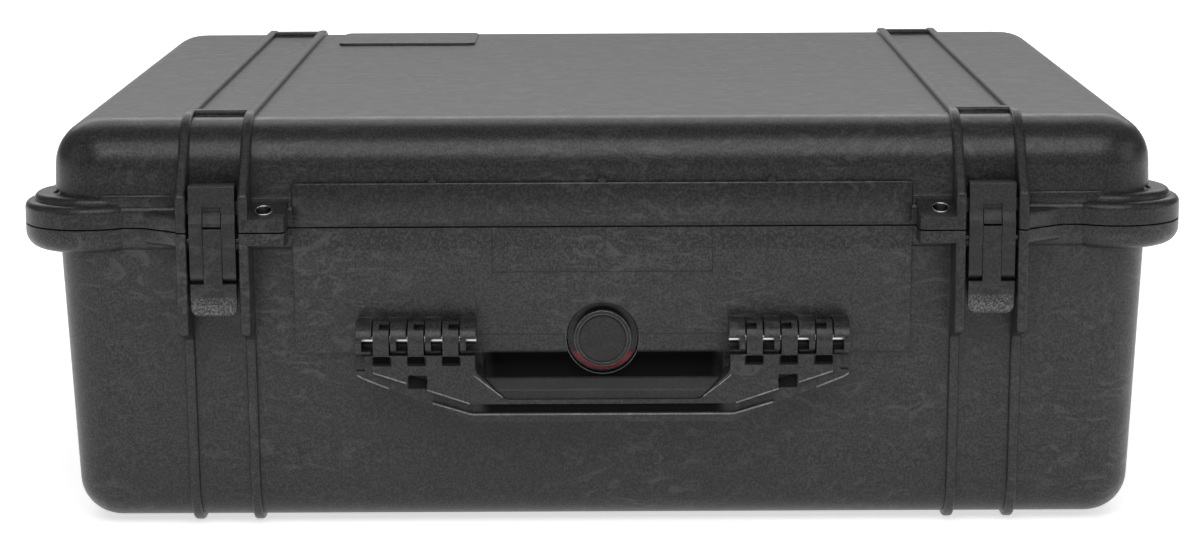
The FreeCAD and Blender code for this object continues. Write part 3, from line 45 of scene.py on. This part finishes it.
class Finish:
    """A material under construction: its nodes, links and one main shader."""

    def __init__(self, name, colour, roughness, specular=0.5, metallic=0.0):
        self.material = bpy.data.materials.new(name)
        self.material.use_nodes = True
        self.nodes = self.material.node_tree.nodes
        self.links = self.material.node_tree.links
        self.shader = self.nodes["Principled BSDF"]
        self.shader.inputs["Base Color"].default_value = (*colour, 1.0)
        self.shader.inputs["Roughness"].default_value = roughness
        self.shader.inputs["Specular IOR Level"].default_value = specular
        self.shader.inputs["Metallic"].default_value = metallic
        self.place = self.add("ShaderNodeTexCoord").outputs["Object"]

    def add(self, kind, **settings):
        node = self.nodes.new(kind)
        for key, value in settings.items():
            setattr(node, key, value)
        return node

    def join(self, source, target):
        self.links.new(source, target)

    def stretched(self, scale, turn=(0.0, 0.0, 0.0)):
        """Object coordinates scaled and turned, for a pattern with a grain."""
        mapping = self.add("ShaderNodeMapping")
        mapping.inputs["Scale"].default_value = scale
        mapping.inputs["Rotation"].default_value = turn
        self.join(self.place, mapping.inputs["Vector"])
        return mapping.outputs["Vector"]

    def noise(self, scale, detail=2.0, rough=0.5, distortion=0.0, place=None):
        node = self.add("ShaderNodeTexNoise")
        node.inputs["Scale"].default_value = scale
        node.inputs["Detail"].default_value = detail
        node.inputs["Roughness"].default_value = rough
        node.inputs["Distortion"].default_value = distortion
        self.join(place or self.place, node.inputs["Vector"])
        return node.outputs["Fac"]

    def ramp(self, source, stops):
        """A smooth step from one (place, level) stop to another."""
        node = self.add("ShaderNodeMapRange", interpolation_type="SMOOTHSTEP")
        (low, first), (high, last) = stops
        node.inputs["From Min"].default_value = low
        node.inputs["From Max"].default_value = high
        node.inputs["To Min"].default_value = first
        node.inputs["To Max"].default_value = last
        self.join(source, node.inputs["Value"])
        return node.outputs["Result"]

    def combine(self, kind, one, other):
        """Arithmetic on two values, each a number or another node's output."""
        node = self.add("ShaderNodeMath", operation=kind)
        for socket, value in zip(node.inputs, (one, other)):
            if isinstance(value, float):
                socket.default_value = value
            else:
                self.join(value, socket)
        return node.outputs["Value"]

    def along(self, axis):
        """How far a point is along an axis of the case."""
        split = self.add("ShaderNodeSeparateXYZ")
        self.join(self.place, split.inputs["Vector"])
        return split.outputs[axis]

    def near(self, source, middle, half, core):
        """One near a middle, fading to nothing between a core and a half width away."""
        away = self.combine("ABSOLUTE", self.combine("SUBTRACT", source, middle), 0.0)
        return self.ramp(away, ((half * core, 1.0), (half, 0.0)))

    def within(self, axis, middle, half):
        """One near a place on an axis, nothing further than a half width away."""
        return self.near(self.along(axis), middle, half, LINE_CORE)

    def hollow(self, middle, half):
        """One inside a box that is mirrored in X, nothing outside it."""
        across = self.combine("ABSOLUTE", self.along("X"), 0.0)
        sources = (across, self.along("Y"), self.along("Z"))
        in_x, in_y, in_z = (self.near(*row, HOLLOW_CORE) for row in zip(sources, middle, half))
        return self.combine("MULTIPLY", self.combine("MULTIPLY", in_x, in_y), in_z)

    def tint(self, share, low, high):
        """A colour that runs from low to high with a share between 0 and 1."""
        node = self.add("ShaderNodeMix", data_type="RGBA")
        for socket, value in ((node.inputs["A"], low), (node.inputs["B"], high)):
            if isinstance(value, tuple):
                socket.default_value = (*value, 1.0)
            else:
                self.join(value, socket)
        self.join(share, node.inputs["Factor"])
        return node.outputs["Result"]

    def colour(self, source):
        self.join(source, self.shader.inputs["Base Color"])

    def roughness(self, source):
        self.join(source, self.shader.inputs["Roughness"])

    def relief(self, source, depth, edge=None):
        """Bump of a depth in metres, over edges softened by a radius in metres."""
        bump = self.add("ShaderNodeBump")
        bump.inputs["Strength"].default_value = 1.0
        bump.inputs["Distance"].default_value = depth
        self.join(source, bump.inputs["Height"])
        if edge is not None:
            soft = self.add("ShaderNodeBevel", samples=EDGE_SAMPLES)
            soft.inputs["Radius"].default_value = edge
            self.join(soft.outputs["Normal"], bump.inputs["Normal"])
        self.join(bump.outputs["Normal"], self.shader.inputs["Normal"])


# Finishes, in metres
PLASTIC_SPECULAR = 0.4
CLOUD_SCALE, GRAIN_SCALE, CURL_SCALE, PEBBLE_SCALE = 9.0, 850.0, 38.0, 1000.0
GRAIN_DEPTH = 0.000012
ROUGH_SWING = 0.03
MOULD_LINE_Z, MOULD_LINE_HALF, MOULD_LINE_WIDTH = 0.1076, 0.166, 0.0005
# Lever tab grip band: real pebbled bumps, with specks painted paler as a painted highlight.
TAB_GRIP_Z, TAB_GRIP_HALF = 0.1267, 0.00585
TAB_GRIP_QUIET, TAB_GRIP_RISE = 0.18, 16.0
SHELL_ROUGH, LATCH_ROUGH, HANDLE_ROUGH = 0.34, 0.42, 0.44
SHELL_EDGE, SMALL_EDGE, TRIM_EDGE = 0.0009, 0.0004, 0.0002

# Recesses that are duller and darker, the darkening a painted shade, as (middle, half size), mirrored in X
PAINTED_SHADE_DARK = 0.004
FINGER_SHADE_BOXES = (((0.0, -0.2225, 0.0795), (0.067, 0.0105, 0.0205)),)
HANDLE_SLOT = (0.0053, 0.02, 0.0026)
HANDLE_SHADE_BOXES = (
    ((0.0, -0.236, 0.0714), (0.069, 0.02, 0.0026)),
    ((0.0973, -0.236, 0.0858), (0.0056, 0.02, 0.0043)),
    ((0.1156, -0.236, 0.0972), HANDLE_SLOT),
    ((0.0975, -0.236, 0.0972), HANDLE_SLOT),
    ((0.0793, -0.236, 0.0972), HANDLE_SLOT),
)


def grey(level):
    """A charcoal with a trace of blue."""
    return (level, level, level * 1.03)


def moulded_plastic(name, dark, pale, roughness, edge, mould_line=False, grip_and_highlight=False, shade_boxes=()):
    """Charcoal plastic with a fine grain, cloudy patches and flow marks; at will a mould line, a grip band
    with specks painted paler as a highlight, and recesses darkened as painted shade.
    """
    finish = Finish(name, grey(dark), roughness, PLASTIC_SPECULAR)
    clouds = finish.noise(CLOUD_SCALE, detail=4.0, rough=0.6)
    grain = finish.noise(GRAIN_SCALE, detail=2.0, rough=0.7)
    curls = finish.noise(CURL_SCALE, detail=6.0, rough=0.66, distortion=3.0,
                         place=finish.stretched((1.0, 1.0, 2.0), (0.0, 0.5, 0.0)))
    flow = finish.ramp(curls, ((0.5, 0.0), (0.68, 1.0)))
    patches = finish.ramp(clouds, ((0.4, 0.15), (0.64, 1.0)))
    marks = finish.combine("MULTIPLY", flow, patches)
    speckle = finish.ramp(grain, ((0.38, 0.0), (0.66, 0.7)))
    share = finish.combine("ADD", marks, speckle)
    relief = grain
    if mould_line:
        line = finish.combine("MULTIPLY", finish.within("Z", MOULD_LINE_Z, MOULD_LINE_WIDTH),
                              finish.within("X", 0.0, MOULD_LINE_HALF))
        share = finish.combine("SUBTRACT", share, line)
    # Grip band: the pebbles are bumps, and their paler specks are a painted highlight.
    if grip_and_highlight:
        pebbles = finish.ramp(finish.noise(PEBBLE_SCALE), ((0.36, 0.0), (0.7, 1.0)))
        specks_and_highlight = finish.combine("MULTIPLY", finish.within("Z", TAB_GRIP_Z, TAB_GRIP_HALF), pebbles)
        share = finish.combine("ADD", finish.combine("MULTIPLY", share, TAB_GRIP_QUIET), specks_and_highlight)
        relief = finish.combine("ADD", grain, finish.combine("MULTIPLY", specks_and_highlight, TAB_GRIP_RISE))
    colour = finish.tint(share, grey(dark), grey(pale))
    dull = finish.ramp(curls, ((0.3, roughness + ROUGH_SWING), (0.7, roughness - ROUGH_SWING)))
    # Painted shade: inside the boxes the colour runs to near-black, and the plastic is duller.
    if shade_boxes:
        depth = finish.hollow(*shade_boxes[0])
        for middle, half in shade_boxes[1:]:
            depth = finish.combine("MAXIMUM", depth, finish.hollow(middle, half))
        colour = finish.tint(depth, colour, grey(PAINTED_SHADE_DARK))
        dull = finish.combine("MAXIMUM", dull, depth)
    finish.colour(colour)
    finish.roughness(dull)
    finish.relief(relief, GRAIN_DEPTH, edge)
    return finish.material


def rubber(name, level, roughness):
    """Dark rubber with fine pores and a little dust."""
    finish = Finish(name, grey(level), roughness, 0.35)
    pores = finish.noise(900.0, detail=3.0, rough=0.7)
    dust = finish.noise(60.0, detail=4.0, rough=0.6)
    share = finish.combine("MULTIPLY", finish.ramp(pores, ((0.35, 0.3), (0.7, 1.0))),
                           finish.ramp(dust, ((0.35, 0.5), (0.7, 1.0))))
    finish.colour(finish.tint(share, grey(level * 0.5), grey(level * 1.6)))
    finish.relief(pores, 0.00002, 0.0005)
    return finish.material


def drawn_steel(name, level, roughness):
    """Steel with fine lines along X."""
    finish = Finish(name, (level, level, level * 0.985), roughness, 0.5, 1.0)
    lines = finish.noise(500.0, detail=3.0, place=finish.stretched((0.06, 1.0, 1.0)))
    finish.colour(finish.tint(lines, (level * 0.8,) * 3, (level,) * 3))
    finish.roughness(finish.ramp(lines, ((0.3, roughness - 0.05), (0.7, roughness + 0.1))))
    finish.relief(lines, 0.00001)
    return finish.material


def red_plastic(name):
    """Slightly cloudy red plastic."""
    finish = Finish(name, (0.7, 0.09, 0.1), 0.45)
    cloud = finish.noise(420.0, detail=3.0, rough=0.65)
    finish.colour(finish.tint(cloud, (0.56, 0.06, 0.07), (0.82, 0.13, 0.14)))
    finish.relief(cloud, 0.00002, 0.0003)
    return finish.material


def felt(name):
    """Pale pressed fibres."""
    finish = Finish(name, (0.72, 0.72, 0.7), 0.95, 0.2)
    fibres = finish.noise(1100.0, detail=5.0, rough=0.75)
    finish.colour(finish.tint(fibres, (0.55, 0.55, 0.53), (0.85, 0.85, 0.83)))
    finish.relief(fibres, 0.00012)
    return finish.material


# The base's finger recess behind the handle gets painted shade.
SHELL = moulded_plastic("moulded_charcoal", 0.012, 0.07, SHELL_ROUGH, SHELL_EDGE,
                        mould_line=True, shade_boxes=FINGER_SHADE_BOXES)
LID = moulded_plastic("moulded_charcoal_lid", 0.01, 0.05, SHELL_ROUGH, SHELL_EDGE)
LATCH = moulded_plastic("latch_charcoal", 0.014, 0.042, LATCH_ROUGH, SMALL_EDGE)
# The lever's pale tone is for the grip band's painted highlight.
LEVER = moulded_plastic("lever_charcoal", 0.014, 0.2, LATCH_ROUGH, SMALL_EDGE, grip_and_highlight=True)
# The handle's groove, side notches and slots get painted shade.
HANDLE = moulded_plastic("handle_charcoal", 0.02, 0.062, HANDLE_ROUGH, SMALL_EDGE,
                         shade_boxes=HANDLE_SHADE_BOXES)
# Pale plastic for the beads on the handle's edges: painted highlights.
HANDLE_EDGE_HIGHLIGHT = moulded_plastic("edge_highlight_charcoal", 0.2, 0.42, 0.36, TRIM_EDGE)
VALVE = moulded_plastic("valve_charcoal", 0.007, 0.024, 0.3, SMALL_EDGE)
# Pale plastic for the rings and beads on valve and lid edges: painted highlights.
EDGE_HIGHLIGHT = moulded_plastic("valve_edge", 0.08, 0.18, 0.28, TRIM_EDGE)
GRIP = rubber("grip_rubber", 0.03, 0.5)
SEAL = rubber("seal_rubber", 0.015, 0.65)
STEEL = drawn_steel("drawn_steel", 0.75, 0.24)
DULL_STEEL = drawn_steel("dull_steel", 0.1, 0.4)
RED = red_plastic("ring_red")
FELT = felt("pressed_felt")


def assign(material, *names):
    """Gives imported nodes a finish."""
    for name in names:
        slots = nodes[name].data.materials
        slots.clear()
        slots.append(material)


SIDES = (("left", -1.0), ("right", 1.0))


def both(stem):
    """The names of a left and a right node."""
    return [f"{stem}_{side_name}" for side_name, _ in SIDES]


assign(SHELL, "base_shell")
assign(LID, "lid_shell")
assign(LATCH, *both("latch_hook"))
assign(LEVER, *both("latch_lever"))
assign(HANDLE, "handle_frame")
assign(VALVE, "valve_body", "valve_cap", "valve_nut")
assign(GRIP, "handle_grip")
assign(SEAL, "lid_seal", "valve_gasket")
assign(RED, "valve_ring")
assign(FELT, "valve_membrane")
assign(DULL_STEEL, "padlock_bushes_lid", "padlock_bushes_base")
assign(DULL_STEEL, *both("latch_pivot_pin"), *both("latch_link_pin"))
assign(STEEL, *both("hinge_pin"), *both("handle_pin"))


# Fine trim, in millimetres: lid steps, padlock rims, and pale edge beads that are painted highlights
MM = 0.001
BEAD_SIDES = 8
RING_STEPS = 40
QUARTER_TURN = math.pi / 2


def settle(shape, name, body, material):
    """Makes a finished piece of a bmesh: smooth, on its body, with its finish."""
    bmesh.ops.recalc_face_normals(shape, faces=shape.faces)
    mesh = bpy.data.meshes.new(name)
    shape.to_mesh(mesh)
    shape.free()
    mesh.shade_smooth()
    mesh.materials.append(material)
    piece = bpy.data.objects.new(name, mesh)
    scene.collection.objects.link(piece)
    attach(piece, body)
    return piece


def bead(name, points, radius, body, material):
    """A thin rounded edge through points, drawn out along X from a small disc."""
    shape = bmesh.new()
    bmesh.ops.create_circle(shape, cap_ends=True, segments=BEAD_SIDES, radius=radius * MM)
    bmesh.ops.rotate(shape, verts=shape.verts, matrix=Matrix.Rotation(QUARTER_TURN, 3, "Y"))
    route = [Vector(point) * MM for point in points]
    bmesh.ops.translate(shape, verts=shape.verts, vec=route[0])
    shape.faces.ensure_lookup_table()
    cap = shape.faces[0]
    for start, end in zip(route, route[1:]):
        grown = bmesh.ops.extrude_face_region(shape, geom=[cap])["geom"]
        moved = [part for part in grown if isinstance(part, bmesh.types.BMVert)]
        bmesh.ops.translate(shape, verts=moved, vec=end - start)
        cap = next(part for part in grown if isinstance(part, bmesh.types.BMFace))
    settle(shape, name, body, material)


def ring(name, middle, radius, thickness, tilt, body, material):
    """A round bead about an axis that is tilted from +Z by degrees about X."""
    shape = bmesh.new()
    bmesh.ops.create_circle(shape, segments=BEAD_SIDES, radius=thickness * MM)
    bmesh.ops.rotate(shape, verts=shape.verts, matrix=Matrix.Rotation(QUARTER_TURN, 3, "X"))
    bmesh.ops.translate(shape, verts=shape.verts, vec=(radius * MM, 0.0, 0.0))
    bmesh.ops.spin(shape, geom=shape.verts[:] + shape.edges[:], cent=(0.0, 0.0, 0.0),
                   axis=(0.0, 0.0, 1.0), angle=math.tau, steps=RING_STEPS, use_merge=True)
    bmesh.ops.rotate(shape, verts=shape.verts, matrix=Matrix.Rotation(math.radians(tilt), 3, "X"))
    bmesh.ops.translate(shape, verts=shape.verts, vec=Vector(middle) * MM)
    settle(shape, name, body, material)


FACE_Y, RIDGE_Y, LIP_Y = -245.95, -245.6, -242.9
EDGE_BEAD = 0.48
RIDGE_RUN = [(-89.5, RIDGE_Y, 74.7), (-69.0, RIDGE_Y, 68.5),
             (69.0, RIDGE_Y, 68.5), (89.5, RIDGE_Y, 74.7)]
SIDE_RUNS = {
    "face_edge_outer": [(120.6, FACE_Y, 91.3), (103.0, FACE_Y, 85.5)],
    "face_edge_inner": [(92.4, FACE_Y, 82.0), (70.0, FACE_Y, 74.5)],
    "lip_edge": [(129.3, LIP_Y, 89.4), (126.5, LIP_Y, 87.7), (112.5, LIP_Y, 82.1)],
    "mouth_edge": [(67.4, FACE_Y, 89.6), (63.4, FACE_Y, 86.2), (52.6, FACE_Y, 77.8)],
}


def handle_edges():
    """Pale beads on the edges of the handle's layers: painted highlights."""
    bead("ridge_edge", RIDGE_RUN, EDGE_BEAD, "handle", HANDLE_EDGE_HIGHLIGHT)
    for side_name, side in SIDES:
        for label, run in SIDE_RUNS.items():
            points = [(x * side, y, z) for x, y, z in run]
            bead(f"{label}_{side_name}", points, EDGE_BEAD, "handle", HANDLE_EDGE_HIGHLIGHT)


EYE_X, EYE_Y, EYE_Z = 176.7, -237.9, 176.7
EYE_RADIUS, EYE_BEAD, EYE_TILT = 4.4, 0.38, 22.1


def padlock_eyes():
    """Bright rolled rims on the padlock bushes."""
    for side_name, side in SIDES:
        ring(f"padlock_eye_{side_name}", (EYE_X * side, EYE_Y, EYE_Z), EYE_RADIUS, EYE_BEAD,
             EYE_TILT, "lid", STEEL)


CAP_EDGE, GROOVE_EDGE, HOOD_EDGE, POCKET_EDGE = 14.9, 13.2, 18.5, 19.5
CAP_SUNK, GROOVE_SUNK, POCKET_BACK = 0.3, 0.24, 2.9
VALVE_BEAD = 0.3
FACING_FRONT = 90.0


def front_of(name):
    """The middle of a node's front face, in millimetres."""
    corners = [Vector(corner) / MM for corner in nodes[name].bound_box]
    low = [min(corner[axis] for corner in corners) for axis in range(3)]
    high = [max(corner[axis] for corner in corners) for axis in range(3)]
    return ((low[0] + high[0]) / 2, low[1], (low[2] + high[2]) / 2)


def valve_edges():
    """Pale rings on the edges of the valve's cap and hood, and of the pocket they sit in: painted
    highlights.
    """
    x, cap_y, z = front_of("valve_cap")
    hood_y = front_of("valve_body")[1]
    edges = (
        ("cap_edge", cap_y + CAP_SUNK, CAP_EDGE, "valve_plastic"),
        ("cap_groove_edge", cap_y + GROOVE_SUNK, GROOVE_EDGE, "valve_plastic"),
        ("hood_edge", hood_y, HOOD_EDGE, "valve_plastic"),
        ("pocket_edge", cap_y + POCKET_BACK, POCKET_EDGE, "shell_plastic"),
    )
    for name, y, radius, slot in edges:
        ring(name, (x, y, z), radius, VALVE_BEAD, FACING_FRONT, "base", EDGE_HIGHLIGHT)


BAND_HALF, BAND_LOW, BAND_TOP, BAND_PROUD = 163.0, 168.0, 189.4, 0.1
FLANGE_MIDDLE, FLANGE_HALF = 242.5, 21.5
FLANGE_LOW, FLANGE_TOP, FLANGE_INSET = 174.0, 183.3, 1.6
RIM_LEVEL = 172.0
STEP_ROOT, STEP_ROUND, STEP_SEGMENTS = 1.5, 0.8, 3
STEP_BEAD, STEP_BEAD_IN, STEP_BEAD_END = 0.3, 0.35, 2.0
FLAT_ANGLE = math.radians(25.0)


def lid_wall(x, z):
    """How far forward the lid's front reaches at a place, in millimetres."""
    start = Vector((x * MM, -1.0, z * MM))
    _, spot, _, _ = nodes["lid_shell"].ray_cast(start, Vector((0.0, 1.0, 0.0)))
    return spot.y / MM


def lid_step(name, middle, half, low, top, inset):
    """A flat step on the lid's front, set in from its rim, rooted in its wall, with a pale bead on its
    edge as a painted highlight.
    """
    front, back = lid_wall(middle, RIM_LEVEL) + inset, lid_wall(middle, top) + STEP_ROOT
    shape = bmesh.new()
    bmesh.ops.create_cube(shape, size=MM)
    bmesh.ops.scale(shape, verts=shape.verts, vec=(2 * half, back - front, top - low))
    bmesh.ops.translate(shape, verts=shape.verts,
                        vec=Vector((middle, (front + back) / 2, (low + top) / 2)) * MM)
    bmesh.ops.bevel(shape, geom=shape.edges[:], offset=STEP_ROUND * MM, offset_type="OFFSET",
                    segments=STEP_SEGMENTS, profile=0.5, affect="EDGES", material=-1)
    step = settle(shape, name, "lid", LID)
    step.data.set_sharp_from_angle(angle=FLAT_ANGLE)
    # A pale bead along the step's top edge: a painted highlight.
    reach = half - STEP_BEAD_END
    points = [(x, front + STEP_BEAD_IN, top - STEP_BEAD_IN) for x in (middle - reach, middle + reach)]
    bead(f"{name}_edge", points, STEP_BEAD, "lid", EDGE_HIGHLIGHT)


def lid_steps():
    """The band between the padlock ears and the raised flange outside the ribs."""
    lid_step("lid_band", 0.0, BAND_HALF, BAND_LOW, BAND_TOP, -BAND_PROUD)
    for side_name, side in SIDES:
        lid_step(f"lid_flange_{side_name}", FLANGE_MIDDLE * side, FLANGE_HALF,
                 FLANGE_LOW, FLANGE_TOP, FLANGE_INSET)


handle_edges()
padlock_eyes()
valve_edges()
lid_steps()


# Studio: pale floor, dim white room, and softboxes
FLOOR_REACH = 30.0
FLOOR_PALE = (0.86, 0.86, 0.86)
FLOOR_GLOW, FRONT_GLOW, FAR_GLOW = 0.66, 0.0, 1.0
FRONT_FADE = (-1.5, -0.8)
FAR_FADE = (1.0, 3.0)
WHITE = (1.0, 1.0, 1.0, 1.0)
ROOM_LIGHT = 0.15
MIDDLE = (0.0, 0.0, 0.2)
LAMPS = (
    ("front_softbox", (1.8, 0.5), 3.1, (0.0, -1.25, 1.6), MIDDLE),
    ("mid_softbox", (1.8, 0.5), 3.1, (0.0, -1.65, 1.2), MIDDLE),
    ("back_wall", (5.0, 1.0), 0.3, (0.0, 2.6, 0.55), (0.0, 0.0, 0.4)),
    ("back_upper", (4.0, 0.8), 2.15, (0.0, 2.2, 1.45), (0.0, 0.0, 0.3)),
    ("high_back", (3.0, 0.8), 1.6, (0.0, 1.2, 2.1), MIDDLE),
    ("left_panel", (1.4, 1.2), 0.4, (-2.2, -0.9, 0.9), MIDDLE),
    ("right_panel", (1.4, 1.2), 1.1, (2.2, -0.9, 0.9), MIDDLE),
)


def make_floor():
    """A pale floor that keeps the shadow, and is white in the distance and in reflections."""
    mesh = bpy.data.meshes.new("floor")
    shape = bmesh.new()
    bmesh.ops.create_grid(shape, x_segments=1, y_segments=1, size=FLOOR_REACH)
    shape.to_mesh(mesh)
    shape.free()
    floor = bpy.data.objects.new("floor", mesh)
    scene.collection.objects.link(floor)
    paper = Finish("pale_floor", FLOOR_PALE, 0.9, 0.0)
    path = paper.add("ShaderNodeLightPath")
    mirrored = paper.combine("MAXIMUM", path.outputs["Is Glossy Ray"], path.outputs["Is Transmission Ray"])
    back = paper.ramp(paper.along("Y"), zip(FRONT_FADE, (FRONT_GLOW, FLOOR_GLOW)))
    reach = paper.add("ShaderNodeVectorMath", operation="LENGTH")
    paper.join(paper.place, reach.inputs["Vector"])
    far = paper.ramp(reach.outputs["Value"], zip(FAR_FADE, (FLOOR_GLOW, FAR_GLOW)))
    glow = paper.combine("ADD", paper.combine("MULTIPLY", mirrored, back),
                         paper.combine("MULTIPLY", path.outputs["Is Camera Ray"], far))
    paper.join(glow, paper.shader.inputs["Emission Strength"])
    paper.shader.inputs["Emission Color"].default_value = WHITE
    mesh.materials.append(paper.material)


def make_room():
    """An even, dim white light from all round."""
    world = bpy.data.worlds.new("studio")
    world.use_nodes = True
    scene.world = world
    background = world.node_tree.nodes["Background"]
    background.inputs["Color"].default_value = WHITE
    background.inputs["Strength"].default_value = ROOM_LIGHT


def make_lamp(name, size, radiance, spot, aim):
    """A rectangular softbox at a spot, facing a point, with an even radiance."""
    light = bpy.data.lights.new(name, "AREA")
    light.shape = "RECTANGLE"
    light.size, light.size_y = size
    light.energy = math.pi * size[0] * size[1] * radiance
    lamp = bpy.data.objects.new(name, light)
    lamp.location = spot
    heading = Vector(aim) - Vector(spot)
    lamp.rotation_euler = heading.to_track_quat("-Z", "Y").to_euler()
    scene.collection.objects.link(lamp)


def make_studio():
    make_floor()
    make_room()
    for lamp in LAMPS:
        make_lamp(*lamp)


# Camera at the photograph's place
CAMERA_SPOT = (0.00195, -1.72484, 0.42889)
CAMERA_YAW, CAMERA_PITCH, CAMERA_ROLL = 0.121, 10.847, 0.278
CAMERA_LENS, CAMERA_SENSOR, CAMERA_NEAR = 86.68, 36.0, 0.05


def make_camera():
    lens = bpy.data.cameras.new("camera")
    lens.sensor_width = CAMERA_SENSOR
    lens.lens = CAMERA_LENS
    lens.clip_start = CAMERA_NEAR
    camera = bpy.data.objects.new("camera", lens)
    camera.location = CAMERA_SPOT
    turn = (Matrix.Rotation(math.radians(CAMERA_YAW), 3, "Z")
            @ Matrix.Rotation(math.radians(90.0 - CAMERA_PITCH), 3, "X")
            @ Matrix.Rotation(math.radians(-CAMERA_ROLL), 3, "Z"))
    camera.rotation_euler = turn.to_euler()
    scene.collection.objects.link(camera)
    scene.camera = camera


make_studio()
make_camera()
